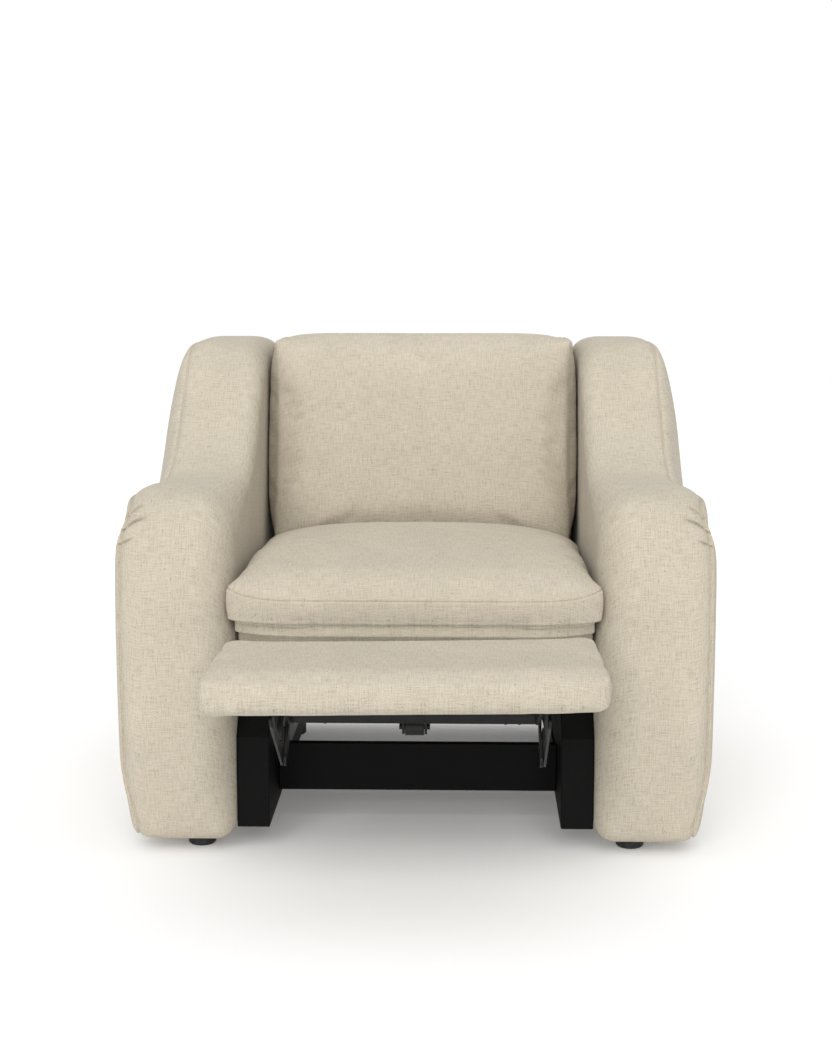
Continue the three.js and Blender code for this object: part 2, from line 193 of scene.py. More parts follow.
# %% Woven linen material
YARN_PITCH = 2.0 * MM
SLUB_LENGTH = 26 * MM
GRAIN_SIZE = 1.7 * MM
HUSK_SPACING = 5.5 * MM


def woven_linen(name, light, mid, dark):
    material, shader = new_material(name)
    link = material.node_tree.links
    cloth = add_node(material, "ShaderNodeUVMap", {"uv_map": "weave"}).outputs["UV"]

    def noise(across, along, shift, detail=2.0):
        scale = (1 / across, 1 / along, 1.0)
        mapped = add_node(material, "ShaderNodeMapping", None,
                          {"Scale": scale, "Location": (shift, shift * 1.7, 0)}, {"Vector": cloth})
        return add_node(material, "ShaderNodeTexNoise", {"noise_dimensions": "2D"},
                        {"Scale": 1.0, "Detail": detail, "Roughness": 0.6},
                        {"Vector": mapped.outputs[0]}).outputs[0]

    def mix(first, second, share):
        return add_node(material, "ShaderNodeMix", None, {"Factor": share},
                        {"A": first, "B": second}).outputs["Result"]

    threads = mix(noise(YARN_PITCH, SLUB_LENGTH, 3.1), noise(SLUB_LENGTH, YARN_PITCH, 9.7), 0.5)
    surface = mix(threads, noise(GRAIN_SIZE, GRAIN_SIZE, 5.3), 0.42)
    ramp = add_node(material, "ShaderNodeValToRGB", None, None, {"Fac": surface})
    ramp.color_ramp.elements[0].position = 0.34
    ramp.color_ramp.elements[0].color = linear(dark)
    ramp.color_ramp.elements[1].position = 0.64
    ramp.color_ramp.elements[1].color = linear(light)
    middle = ramp.color_ramp.elements.new(0.47)
    middle.color = linear(mid)

    # Broad, faint changes of shade, as a bolt of linen has.
    cloud = noise(90 * MM, 120 * MM, 1.3, 3.0)
    shade = add_node(material, "ShaderNodeMapRange", None,
                     {"From Min": 0.3, "From Max": 0.7, "To Min": 0.965, "To Max": 1.025},
                     {"Value": cloud})
    tinted = add_node(material, "ShaderNodeMixRGB", {"blend_type": "MULTIPLY"}, {"Fac": 1.0},
                      {"Color1": ramp.outputs["Color"], "Color2": shade.outputs[0]})

    # Sparse brown flecks of flax husk, about 2 mm long.
    fleck = add_node(material, "ShaderNodeMapRange", None,
                     {"From Min": 0.84, "From Max": 0.90, "To Min": 0.0, "To Max": 0.4},
                     {"Value": noise(HUSK_SPACING, HUSK_SPACING, 7.9, 0.0)})
    coloured = add_node(material, "ShaderNodeMixRGB", None, {"Color2": linear("#8a7253")},
                        {"Fac": fleck.outputs[0], "Color1": tinted.outputs[0]})
    link.new(coloured.outputs[0], shader.inputs["Base Color"])
    shader.inputs["Roughness"].default_value = 0.92
    shader.inputs["Sheen Weight"].default_value = 0.10
    shader.inputs["Sheen Roughness"].default_value = 0.5
    shader.inputs["Specular IOR Level"].default_value = 0.2

    bump = add_node(material, "ShaderNodeBump", None, {"Strength": 0.35, "Distance": 0.0009},
                    {"Height": surface})
    link.new(bump.outputs[0], shader.inputs["Normal"])
    return material


linen = woven_linen("woven_oatmeal_linen", "#c5bdac", "#b7ae9d", "#9e9480")
print("linen nodes:", len(linen.node_tree.nodes))

# %% [markdown]
# ## Metal, timber and plastic
# The frame under the upholstery is ordinary furniture hardware. Pressed steel is powder coated: a thick
# satin film with a fine orange peel. The base timbers are painted matt black with the grain just
# telling through. The seat frame is raw birch plywood with its plies showing on the edges. Motors,
# feet and the switch plate are moulded ABS with a spark-eroded texture, and the rods are zinc plated.

# %% Hard materials


def object_noise(material, size, detail=2.0):
    """Noise on Object coordinates with features of the given size along X, Y and Z."""
    where = add_node(material, "ShaderNodeTexCoord").outputs["Object"]
    mapped = add_node(material, "ShaderNodeMapping", None, {"Scale": [1 / s for s in size]},
                      {"Vector": where})
    return add_node(material, "ShaderNodeTexNoise", None,
                    {"Scale": 1.0, "Detail": detail, "Roughness": 0.55}, {"Vector": mapped.outputs[0]})


def two_tone(material, shader, pattern, low, high, rough_low, rough_high):
    """Base colour and roughness from one pattern."""
    ramp = add_node(material, "ShaderNodeValToRGB", None, None, {"Fac": pattern.outputs[0]})
    ramp.color_ramp.elements[0].position = 0.35
    ramp.color_ramp.elements[0].color = linear(low)
    ramp.color_ramp.elements[1].position = 0.65
    ramp.color_ramp.elements[1].color = linear(high)
    rough = add_node(material, "ShaderNodeMapRange", None,
                     {"From Min": 0.3, "From Max": 0.7, "To Min": rough_low, "To Max": rough_high},
                     {"Value": pattern.outputs[0]})
    material.node_tree.links.new(ramp.outputs["Color"], shader.inputs["Base Color"])
    material.node_tree.links.new(rough.outputs[0], shader.inputs["Roughness"])


def bumped(material, shader, pattern, strength, height):
    bump = add_node(material, "ShaderNodeBump", None, {"Strength": strength, "Distance": height},
                    {"Height": pattern.outputs[0]})
    material.node_tree.links.new(bump.outputs[0], shader.inputs["Normal"])


def powder_coat():
    # Satin black polyester powder on steel: soft wide highlights broken by orange peel 1.5 mm across.
    material, shader = new_material("black_powder_coat")
    two_tone(material, shader, object_noise(material, (25 * MM,) * 3), "#0e0e0f", "#151516", 0.36, 0.5)
    bumped(material, shader, object_noise(material, (1.5 * MM,) * 3), 0.25, 0.0002)
    shader.inputs["Specular IOR Level"].default_value = 0.35
    return material


def painted_timber():
    # Matt black paint rolled on softwood: the grain lifts the film in long fine ridges 2.5 mm apart.
    material, shader = new_material("black_painted_timber")
    grain = object_noise(material, (2.5 * MM, 60 * MM, 2.5 * MM), 3.0)
    two_tone(material, shader, grain, "#070707", "#0b0b0b", 0.6, 0.75)
    bumped(material, shader, grain, 0.3, 0.0003)
    shader.inputs["Specular IOR Level"].default_value = 0.12
    return material


def birch_plywood():
    # Raw birch ply: pale tan with darker plies 1.6 mm thick on the cut edges, and long soft grain.
    material, shader = new_material("birch_plywood")
    two_tone(material, shader, object_noise(material, (40 * MM, 40 * MM, 1.6 * MM), 3.0),
             "#a98a5f", "#cdb184", 0.7, 0.85)
    bumped(material, shader, object_noise(material, (30 * MM, 3 * MM, 3 * MM)), 0.2, 0.0002)
    return material


def moulded_abs():
    # Black ABS from a spark-eroded mould: a dull fine stipple 0.8 mm across, drawn at 1.2 mm.
    material, shader = new_material("black_moulded_abs")
    two_tone(material, shader, object_noise(material, (18 * MM,) * 3), "#0f0f10", "#171718", 0.5, 0.62)
    bumped(material, shader, object_noise(material, (1.2 * MM,) * 3), 0.35, 0.0002)
    shader.inputs["IOR"].default_value = 1.53
    return material


def zinc_plate():
    # Bright zinc plating: a cool grey metal with the drawing lines of the rod and a cloudy passivation.
    material, shader = new_material("zinc_plating")
    two_tone(material, shader, object_noise(material, (9 * MM, 30 * MM, 9 * MM)),
             "#8f9294", "#b4b6b7", 0.28, 0.42)
    bumped(material, shader, object_noise(material, (0.8 * MM, 40 * MM, 0.8 * MM)), 0.2, 0.0001)
    shader.inputs["Metallic"].default_value = 1.0
    return material


FINISHES = {
    "linen": linen,
    "black_steel": powder_coat(),
    "black_rail": painted_timber(),
    "plywood": birch_plywood(),
    "black_plastic": moulded_abs(),
    "zinc": zinc_plate(),
}
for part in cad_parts.values():
    for place_in_list, plain in enumerate(part.data.materials):
        part.material_slots[place_in_list].material = FINISHES[plain.name.split(".")[0]]
print("finishes:", sorted(FINISHES))

# %% [markdown]
# ## A grid that becomes a cover
# A fitted cover is cut from panels and pulled over foam. An easy way to build such a skin is a flat
# bmesh grid whose vertices are moved onto the wanted surface: one direction of the grid runs round the
# arm's side shape and the other runs across its thickness. Doubles are merged where the grid closes.

# %% Grid skin helper


def grid_skin(name, around, across, surface, weave):
    """A closed skin: surface(i, j) gives each point, weave(i, j) its place on the cloth in metres."""
    skin = bmesh.new()
    bmesh.ops.create_grid(skin, x_segments=around, y_segments=across, size=0.5)
    layer = skin.loops.layers.uv.new("weave")
    index = {}
    for vert in skin.verts:
        index[vert] = (round((vert.co.x + 0.5) * around), round((vert.co.y + 0.5) * across))
    for face in skin.faces:
        mean_j = sum(index[v][1] for v in face.verts) / 4
        for loop in face.loops:
            loop[layer].uv = weave(*index[loop.vert], mean_j)
    for vert, (i, j) in index.items():
        vert.co = surface(i, j)
    bmesh.ops.remove_doubles(skin, verts=skin.verts, dist=0.00002)
    bmesh.ops.recalc_face_normals(skin, faces=skin.faces)
    mesh = bpy.data.meshes.new(name)
    skin.to_mesh(mesh)
    skin.free()
    mesh.shade_smooth()
    piece = bpy.data.objects.new(name, mesh)
    bpy.context.scene.collection.objects.link(piece)
    return piece


def spline(points, steps):
    """Catmull-Rom through (depth, height) points."""
    p = np.array(points, float)
    p = np.vstack([2 * p[0] - p[1], p, 2 * p[-1] - p[-2]])
    rows = []
    for k in range(1, len(p) - 2):
        for t in np.linspace(0, 1, steps, endpoint=False):
            rows.append(0.5 * (2 * p[k] + (p[k + 1] - p[k - 1]) * t
                               + (2 * p[k - 1] - 5 * p[k] + 4 * p[k + 1] - p[k + 2]) * t ** 2
                               + (3 * p[k] - p[k - 1] - 3 * p[k + 1] + p[k + 2]) * t ** 3))
    return np.vstack([rows, p[-2]])


# %% [markdown]
# ## Arms
# Each arm is one padded side: a front face that bellies out, a rounded fist at the top, a saddle, and a
# wing beside the back. The front and top are one strip of cloth joined to the outer side panel by a
# plain seam, and the strip's fullness is taken up in three short pleats at the fist's outer corner.

# %% The arm's side shape
ARM_SHAPE = [
    (84, 20), (60, 22), (46, 36), (35, 80), (15, 170), (3, 280), (0, 370), (4, 450), (13, 515),
    (31, 570), (60, 603), (104, 618), (170, 622), (285, 621), (350, 634), (420, 672), (500, 740),
    (556, 797), (604, 832), (660, 847), (730, 850), (830, 850), (895, 844), (935, 822), (953, 785),
    (958, 730), (959, 600), (959, 400), (958, 200), (954, 80), (950, 44), (936, 26), (910, 20),
    (700, 20), (400, 20), (200, 20), (84, 20),
]
ARM_STEPS = 330
SPLINE_STEPS = 40
FIST_CENTRE, FIST_REACH, FIST_FINER = (40, 575), (75, 70), 8.0
CENTRE_LINE = np.array([[235.0, 330.0], [720.0, 440.0]])


def arm_outline():
    """The side shape as evenly walked points, closer together round the fist, where the pleats are.

    Between the ends of the centre line, the points underneath stand exactly below those on top, so
    that the panel's rows from above and below meet in the same points of that line.
    """
    dense = spline(ARM_SHAPE, SPLINE_STEPS)
    step = np.hypot(*np.diff(dense, axis=0).T)
    middle = (dense[1:] + dense[:-1]) / 2
    off_fist = (middle - np.array(FIST_CENTRE)) / np.array(FIST_REACH)
    fist = np.exp(-(off_fist ** 2).sum(1) ** 2)
    walked = np.concatenate([[0], np.cumsum(step * (1 + FIST_FINER * fist))])
    target = np.linspace(0, walked[-1], ARM_STEPS + 1)
    points = np.stack([np.interp(target, walked, dense[:, k]) for k in (0, 1)], 1)
    inner = (points[:, 0] > CENTRE_LINE[0, 0]) & (points[:, 0] < CENTRE_LINE[1, 0])
    above = points[inner & (points[:, 1] > CENTRE_LINE[1, 1])]
    below = np.flatnonzero(inner & (points[:, 1] < CENTRE_LINE[0, 1]))
    under = np.stack([above[::-1, 0], np.full(len(above), points[below, 1].mean())], 1)
    points = np.concatenate([points[:below[0]], under, points[below[-1] + 1:]])
    length = np.concatenate([[0], np.cumsum(np.hypot(*np.diff(points, axis=0).T))])
    return points, length


arm_points, arm_length = arm_outline()
ARM_AROUND = len(arm_points) - 1
print("arm outline:", len(arm_points), "points,", round(arm_length[-1]), "mm round")

# %% [markdown]
# The cover turns in from the outline at both edges. How far it turns in, and over what radius, changes
# round the arm: broad and soft at the front inside corner, tight at the back and underneath.

# %% How the edges turn, all round the arm


def inward_normals(points, reach):
    """Normals pointing into the shape, smoothed so that sharp corners fan out gently."""
    tangent = np.gradient(points, axis=0)
    tangent[0] = tangent[-1] = points[1] - points[-2]
    length = np.hypot(*np.diff(points, axis=0).T)
    s = np.concatenate([[0], np.cumsum(length)])
    normal = np.stack([tangent[:, 1], -tangent[:, 0]], 1)
    normal /= np.hypot(*normal.T)[:, None]
    gap = np.abs(s[:, None] - s[None, :])
    gap = np.minimum(gap, s[-1] - gap)
    weight = np.exp(-(gap / reach) ** 2) * np.gradient(s)[None, :]
    soft = weight @ normal
    return soft / np.hypot(*soft.T)[:, None]


NORMAL_REACH = 26.0
arm_normal = inward_normals(arm_points, NORMAL_REACH)
arm_tangent = np.stack([-arm_normal[:, 1], arm_normal[:, 0]], 1)


def fade(value, low, high):
    """0 below low, 1 above high, smooth between."""
    t = np.clip((value - low) / (high - low), 0, 1)
    return t * t * (3 - 2 * t)


depth_of, height_of = arm_points.T
at_bottom = 1 - fade(height_of, 22, 150)
at_rear = fade(depth_of, 850, 940)
at_front = (1 - fade(depth_of, 90, 330)) * (1 - at_bottom)
at_crown = fade(height_of, 790, 838) * (1 - at_rear)
fist_corner = np.exp(-(((depth_of - 62) / 66) ** 2 + ((height_of - 606) / 48) ** 2) ** 1.5)
inner_radius = 30 + 38 * at_front + 6 * at_bottom - 10 * at_rear + 20 * at_crown
face_end = 412 + 40 * at_front + 28 * at_bottom + 22 * at_rear - 17 * fist_corner
seam_across = 452 + 39 * at_front + 20 * at_bottom + 26 * at_rear - 12 * fist_corner
seam_inset = 9 + 11 * at_front - 1 * at_bottom
side_across = 500 + 9 * at_front + 5 * at_bottom - 12 * fist_corner
side_reach = 230 - 120 * at_front - 60 * at_bottom - 60 * at_rear
side_dish = 8 * at_front + 4 * at_bottom

# %% [markdown]
# Pleats are folds: the cloth above a pleat's line rolls over it and the cloth below tucks under. They
# start at the seam and die out a few centimetres along the strip. The seam itself is a narrow groove
# all the way round.

# %% Rows across one arm
INSIDE, EDGE_IN, FACE, EDGE_OUT, SEAM, SIDE = 8, 10, 14, 12, 5, 22
ARM_ACROSS = INSIDE + EDGE_IN + FACE + EDGE_OUT + SEAM + SIDE - 1
ARM_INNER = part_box("arm_cover_r")[0].x / MM
SEAM_WIDTH = 2.4
SEAM_DEPTH = 2.8
PANEL_MIDDLE = 496.5


def arm_middle():
    """The point of the centre line that each slice's panel rows run to."""
    along = np.clip((depth_of - CENTRE_LINE[0, 0]) / (CENTRE_LINE[1, 0] - CENTRE_LINE[0, 0]), 0, 1)
    return CENTRE_LINE[0] + along[:, None] * (CENTRE_LINE[1] - CENTRE_LINE[0])


arm_centre = arm_middle()


def side_profile(i, run):
    """How far out the side panel stands, a given run away from the seam."""
    u = min(1.0, run / side_reach[i])
    rise = u ** 0.55 * (1 + 0.3 * (1 - u))
    dish = side_dish[i] * float(fade(run, 95, 175))
    return seam_across[i] + SEAM_WIDTH + (side_across[i] - seam_across[i] - SEAM_WIDTH) * rise - dish


def arm_section(i):
    """(across, inset, share of the way to the centre) for every row of one slice of the arm."""
    rows = []
    r = inner_radius[i]
    for k in range(INSIDE):
        rows.append((ARM_INNER, r, 1 - k / INSIDE))
    for k in range(EDGE_IN):
        turn = math.pi / 2 * k / EDGE_IN
        rows.append((ARM_INNER + r - r * math.cos(turn), r - r * math.sin(turn), 0))
    start = ARM_INNER + r
    for k in range(FACE):
        rows.append((start + (face_end[i] - start) * k / FACE, 0, 0))
    outer = seam_across[i] - SEAM_WIDTH
    for k in range(EDGE_OUT):
        q = k / EDGE_OUT
        rows.append((face_end[i] + (outer - face_end[i]) * q,
                     (seam_inset[i] - 1.2) * (1 - math.sqrt(1 - (0.93 * q) ** 2)) / 0.63, 0))
    for k in range(SEAM):
        q = k / (SEAM - 1)
        dip = SEAM_DEPTH * math.sin(math.pi * q) ** 2
        rows.append((seam_across[i] + SEAM_WIDTH * (2 * q - 1) - dip * 0.35, seam_inset[i] + dip, 0))
    base = arm_points[i] + arm_normal[i] * seam_inset[i]
    to_centre = math.dist(base, arm_centre[i])
    for k in range(1, SIDE + 1):
        share = (k / SIDE) ** 2.0
        meet = float(fade(share, 0.12, 0.6))
        across = side_profile(i, share * to_centre)
        rows.append((across + (PANEL_MIDDLE - across) * meet, seam_inset[i], share))
    return rows


sections = [arm_section(i) for i in range(ARM_AROUND + 1)]
sections[-1] = sections[0]
print("rows across the arm:", len(sections[0]), "expected", ARM_ACROSS + 1)

# %% [markdown]
# The pleats and the soft fold in the saddle are moves of the same surface. A pleat's line climbs a
# little as it runs away from the seam, and the cloth puffs up on both sides of it.

# %% One arm's surface
PLEATS = ((50, 597, 34, 8.0, 12), (31, 569, 42, 9.0, 15), (17, 544, 26, 7.5, 7))
PLEAT_CURVE = 11
SADDLE_FOLD = {"depth": 470, "up": 715, "from": 335, "to": 398, "height": 2.4}


def arc_at(depth, up):
    """The length along the outline at the point nearest to a place."""
    return arm_length[int(np.argmin(np.hypot(depth_of - depth, height_of - up)))]


pleat_arcs = [arc_at(depth, up) for depth, up, *_ in PLEATS]
fold_arc = arc_at(SADDLE_FOLD["depth"], SADDLE_FOLD["up"])


def pleat_move(i, across):
    """How far the pleats pull one point of the strip inwards and down, in millimetres."""
    move = 0.0
    hang = 0.0
    off_seam = seam_across[i] - across
    for arc, (_, _, length, fold, climb) in zip(pleat_arcs, PLEATS):
        gap = arm_length[i] - arc - climb * (1 - math.exp(-max(0.0, off_seam) / PLEAT_CURVE))
        if abs(gap) > 34:
            continue
        if off_seam > -4:
            reach = max(0.0, 1 - (off_seam / length) ** 2) * (0.45 + 0.55 * float(fade(off_seam, 0, 9)))
        else:
            reach = max(0.0, 1 + (off_seam + 4) / 16) * 0.4
        under = math.exp(-((gap + 1.2) / 1.7) ** 2) + 0.35 * math.exp(-((gap + 5) / 4.0) ** 2)
        over = math.exp(-((gap - 3.2) / 3.2) ** 2)
        move += fold * reach * (under - 0.55 * over)
        hang += 0.28 * fold * reach * math.exp(-((gap - 2.6) / 2.8) ** 2)
    return move, hang


def fold_move(i, across):
    """The one soft crease that a wing's cloth makes where it meets the saddle."""
    middle = (SADDLE_FOLD["from"] + SADDLE_FOLD["to"]) / 2
    gap = arm_length[i] - fold_arc - 0.5 * (across - middle)
    if abs(gap) > 40:
        return 0.0
    half = (SADDLE_FOLD["to"] - SADDLE_FOLD["from"]) / 2
    reach = max(0.0, 1 - ((across - middle) / half) ** 2)
    ridge, trough = 0.6 * math.exp(-((gap + 5) / 4) ** 2), math.exp(-(gap / 7) ** 2)
    return SADDLE_FOLD["height"] * reach * (ridge - trough)


def arm_surface(side):
    def surface(i, j):
        across, inset, share = sections[i][j]
        point = arm_points[i] + arm_normal[i] * inset
        point = point + (arm_centre[i] - point) * share
        if j >= INSIDE + EDGE_IN and share < 0.05:
            inward, down = pleat_move(i, across)
            point = point + arm_normal[i] * (inward + fold_move(i, across)) - arm_tangent[i] * down
        return place(side * across, *point)
    return surface


def arm_weave(i, j, mean_j):
    across, inset, share = sections[i][j]
    if mean_j < INSIDE or mean_j > ARM_ACROSS - SIDE:
        point = arm_points[i] + arm_normal[i] * inset
        point = point + (arm_centre[i] - point) * share
        return (point[0] * MM, point[1] * MM)
    return (across * MM + 2.0, arm_length[i] * MM + inset * MM * (1 if mean_j < 20 else -1))


# %% [markdown]
# The skin gets one level of subdivision, and the piece takes the place of the plain arm solid.

# %% Both arm covers


def finish_piece(piece, material, body, levels=0, replaced=()):
    """The last steps for every upholstery piece: finish, subdivision, and the body that it rides on."""
    piece.data.materials.clear()
    piece.data.materials.append(material)
    if levels:
        smooth = piece.modifiers.new("smooth", "SUBSURF")
        smooth.levels = smooth.render_levels = levels
    if replaced:
        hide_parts(*replaced)
    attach(piece, body)
    return piece


for tag, side in (("l", -1), ("r", 1)):
    arm = grid_skin(f"arm_upholstery_{tag}", ARM_AROUND, ARM_ACROSS, arm_surface(side), arm_weave)
    finish_piece(arm, linen, "base", 1, [f"arm_cover_{tag}"])
    print(arm.name, "faces:", len(arm.data.polygons))

# %% [markdown]
# ## Cushions
# Cushions are filled cloth bags. Each starts as a plain block, shaped roughly, remeshed to even small
# faces, and blown up a little with a cloth simulation so that its panels swell between the seams. The
# swelling is capped so that the cushion still fits between the arms.

# %% Cushion helpers
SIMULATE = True


def block(name, low, high, cuts):
    """A box between two corners given in chair millimetres, cut into a fine grid of faces."""
    box = bmesh.new()
    bmesh.ops.create_cube(box, size=1.0)
    size = Vector(high) - Vector(low)
    bmesh.ops.scale(box, vec=size, verts=box.verts)
    bmesh.ops.translate(box, vec=(Vector(low) + Vector(high)) / 2, verts=box.verts)
    bmesh.ops.subdivide_edges(box, edges=box.edges, cuts=cuts, use_grid_fill=True)
    mesh = bpy.data.meshes.new(name)
    box.to_mesh(mesh)
    box.free()
    piece = bpy.data.objects.new(name, mesh)
    bpy.context.scene.collection.objects.link(piece)
    return piece


def points_of(piece):
    co = np.empty(len(piece.data.vertices) * 3)
    piece.data.vertices.foreach_get("co", co)
    return co.reshape(-1, 3)


def set_points(piece, co):
    piece.data.vertices.foreach_set("co", np.asarray(co, float).ravel())
    piece.data.update()


def to_chair(co):
    """Frame metres to chair millimetres: across, behind the arm fronts, up."""
    return (co - np.array([0.0, ARM_FRONT, 0.0])) / MM


def to_frame(chair):
    return chair * MM + np.array([0.0, ARM_FRONT, 0.0])


def apply_modifiers(piece):
    """Bakes the live modifiers into the mesh."""
    depsgraph = bpy.context.evaluated_depsgraph_get()
    mesh = bpy.data.meshes.new_from_object(piece.evaluated_get(depsgraph))
    piece.modifiers.clear()
    piece.data = mesh


def remesh(piece, voxel):
    modifier = piece.modifiers.new("even_faces", "REMESH")
    modifier.mode = "VOXEL"
    modifier.voxel_size = voxel
    apply_modifiers(piece)


def inflate(piece, pressure, cap, frames=18):
    """Blows the bag up by cloth simulation, with no point moving further than the cap."""
    start = points_of(piece)
    cloth = piece.modifiers.new("bag", "CLOTH")
    cloth.settings.use_pressure = True
    cloth.settings.uniform_pressure_force = pressure
    cloth.settings.effector_weights.gravity = 0.0
    cloth.settings.quality = 4
    cloth.point_cache.frame_start = 1
    cloth.point_cache.frame_end = frames
    for number in range(1, frames + 1):
        scene.frame_set(number)
        piece.evaluated_get(bpy.context.evaluated_depsgraph_get())
    apply_modifiers(piece)
    scene.frame_set(1)
    move = points_of(piece) - start
    far = np.linalg.norm(move, axis=1)
    scale = np.where(far > 1e-9, cap * np.tanh(far / cap) / np.maximum(far, 1e-9), 0)
    set_points(piece, start + move * scale[:, None])
    return float(far.max())


def relax(piece, rounds, factor=0.5):
    smoothing = piece.modifiers.new("relax", "SMOOTH")
    smoothing.iterations = rounds
    smoothing.factor = factor
    apply_modifiers(piece)


def refine(piece):
    """One applied level of subdivision."""
    finer = piece.modifiers.new("finer", "SUBSURF")
    finer.levels = finer.render_levels = 1
    apply_modifiers(piece)


def make_bag(piece, voxel, pressure, cap):
    """The cushion recipe: even faces, swell, smooth, refine."""
    remesh(piece, voxel)
    relax(piece, 5)
    if SIMULATE:
        print(piece.name, "swelled", round(inflate(piece, pressure, cap) / MM, 1), "mm")
    relax(piece, 3)
    refine(piece)


def fit_between(chair, low, high):
    """Stretches a swollen bag to fill exactly the room it has: flat only where it meets the room."""
    now_low, now_high = chair.min(0), chair.max(0)
    low, high = np.array(low, float), np.array(high, float)
    return low + (chair - now_low) * (high - low) / (now_high - now_low)


# %% [markdown]
# Seams come after the swelling, because an even remesh would swallow them. The faces along the seam
# are cut finer, and then each point near the line moves along its normal by the seam's cross-section:
# a narrow valley where the thread pulls, with the cloth standing up a little on either side.

# %% Seams on a finished bag


def sew(piece, distance, cross_section, near=11.0):
    """Cuts and shapes a seam where distance(chair millimetres) is zero."""
    form = bmesh.new()
    form.from_mesh(piece.data)
    for reach in (near, near * 0.6):
        co = to_chair(np.array([v.co for v in form.verts]))
        close = np.abs(distance(co)) < reach
        edges = [e for e in form.edges if close[e.verts[0].index] and close[e.verts[1].index]]
        bmesh.ops.subdivide_edges(form, edges=edges, cuts=1, use_grid_fill=True)
        form.verts.index_update()
    form.to_mesh(piece.data)
    form.free()
    normals = np.empty(len(piece.data.vertices) * 3)
    piece.data.vertex_normals.foreach_get("vector", normals)
    co = points_of(piece)
    move = cross_section(distance(to_chair(co))) * MM
    set_points(piece, co + normals.reshape(-1, 3) * move[:, None])


def plain_seam(d):
    """A pressed-open seam: a thread-tight valley between two low swells."""
    return -2.0 * np.exp(-(d / 1.2) ** 2) + 0.7 * np.exp(-((np.abs(d) - 4) / 3.0) ** 2)


def faint_seam(d):
    """A seam that the filling pushes flat."""
    return 0.65 * plain_seam(d)


def rolled_seam(d):
    """The upper panel rolls over the seam and shades it."""
    return (-2.4 * np.exp(-(d / 1.5) ** 2) + 1.6 * np.exp(-((d - 4.5) / 3.2) ** 2)
            + 0.4 * np.exp(-((d + 4) / 3) ** 2))


def lay_cloth(piece):
    """The weave map: sides are cut from a depth-height panel, all else from one panel rolled over."""
    mesh = piece.data
    layer = mesh.uv_layers.new(name="weave")
    co = points_of(piece)
    normals = np.empty(len(mesh.polygons) * 3)
    mesh.polygons.foreach_get("normal", normals)
    sideways = np.abs(normals.reshape(-1, 3)[:, 0]) > 0.75
    counts = np.empty(len(mesh.polygons), int)
    mesh.polygons.foreach_get("loop_total", counts)
    loop_vert = np.empty(len(mesh.loops), int)
    mesh.loops.foreach_get("vertex_index", loop_vert)
    spot = co[loop_vert]
    on_side = np.repeat(sideways, counts)
    u = np.where(on_side, spot[:, 1], spot[:, 0])
    v = np.where(on_side, spot[:, 2], spot[:, 1] + spot[:, 2])
    layer.data.foreach_set("uv", np.stack([u, v], 1).ravel())
    mesh.shade_smooth()


# %% [markdown]
# The seat cushion is the plumpest: a crown that rolls over the front edge, a narrow front border with a
# seam above and below it, and sides pressed flat against the arms.

# %% Seat cushion
SEAT_LOW, SEAT_HIGH = (to_chair(np.array(corner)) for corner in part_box("seat_cushion"))
SEAT_HALF = SEAT_HIGH[0]
BORDER_TOP = SEAT_LOW[2] + 48
CROWN_DEPTHS = (-20, 0, 20, 60, 160, 300, 420, 490, 542)
CROWN_HEIGHTS = (3, 14, 23, 36, 49, 58, 61, 54, 26)


def shaped_seat(co):
    """From a flat block to the crowned cushion."""
    x, y, z = co.T
    share = (z - SEAT_LOW[2]) / (BORDER_TOP - SEAT_LOW[2])
    pull = np.abs(x) / (SEAT_HALF - 5)
    corner = 1 - fade(y, -20, 130)
    crown = np.interp(y, CROWN_DEPTHS, CROWN_HEIGHTS)
    toward_rear = fade(y, 150, 480)
    dome = np.clip(1 - pull ** (4.5 - 1.9 * toward_rear), 0, 1) ** (0.38 + 0.14 * toward_rear)
    full_side = 14 * fade(pull, 0.5, 0.95) * (1 - fade(y, 220, 460))
    z = z + np.clip(share, 0, 1) * (crown * dome + full_side)
    y = y + corner * (44 * pull ** 8 - 7 * np.sin(math.pi * np.clip(share, 0, 1)))
    return np.stack([x, y, z], 1)


def border_seam(p):
    ends = (np.abs(p[:, 0]) / SEAT_HALF) ** 8
    return np.where(p[:, 1] < 520, p[:, 2] - (BORDER_TOP + 1 + 12 * ends), 99)


def base_seam(p):
    return np.where(p[:, 1] < 520, p[:, 2] - (SEAT_LOW[2] + 7 + 0.00002 * p[:, 0] ** 2), 99)


seat = block("seat_cushion_upholstery", (5 - SEAT_HALF, SEAT_LOW[1] + 9, SEAT_LOW[2] + 1),
             (SEAT_HALF - 5, SEAT_HIGH[1] - 6, BORDER_TOP), 40)
set_points(seat, to_frame(shaped_seat(points_of(seat))))
make_bag(seat, 0.007, 4.0, 0.016)
SEAT_ROOM = ((1 - ARM_INNER, SEAT_LOW[1] - 2, 400.4), (ARM_INNER - 1, SEAT_HIGH[1] + 2, SEAT_HIGH[2] + 2))
seat_shape = fit_between(to_chair(points_of(seat)), *SEAT_ROOM)
seat_shape[:, 0] *= 1 + 0.036 * (1 - fade(seat_shape[:, 1], 12, 62))
seat_shape[:, 2] -= 9 * (1 - fade(seat_shape[:, 1], 20, 90)) * (1 - fade(seat_shape[:, 2], 405, 442))
set_points(seat, to_frame(seat_shape))
sew(seat, border_seam, faint_seam)
sew(seat, base_seam, rolled_seam)
lay_cloth(seat)
finish_piece(seat, linen, "carriage", 0, ["seat_cushion"])
print("seat box, mm:", seat_shape.min(0).round(), seat_shape.max(0).round(), len(seat.data.polygons))

# %% [markdown]
# Under the cushion the deck has a padded lip that hides its front edge and the rail below. It is a
# strip of the same linen over thin foam.

# %% Deck lip
RAIL_FRONT = to_chair(np.array(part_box("seat_rail_front")[0]))[1]
LIP_HALF, LIP_FRONT, LIP_TOP = 301, -3, 401


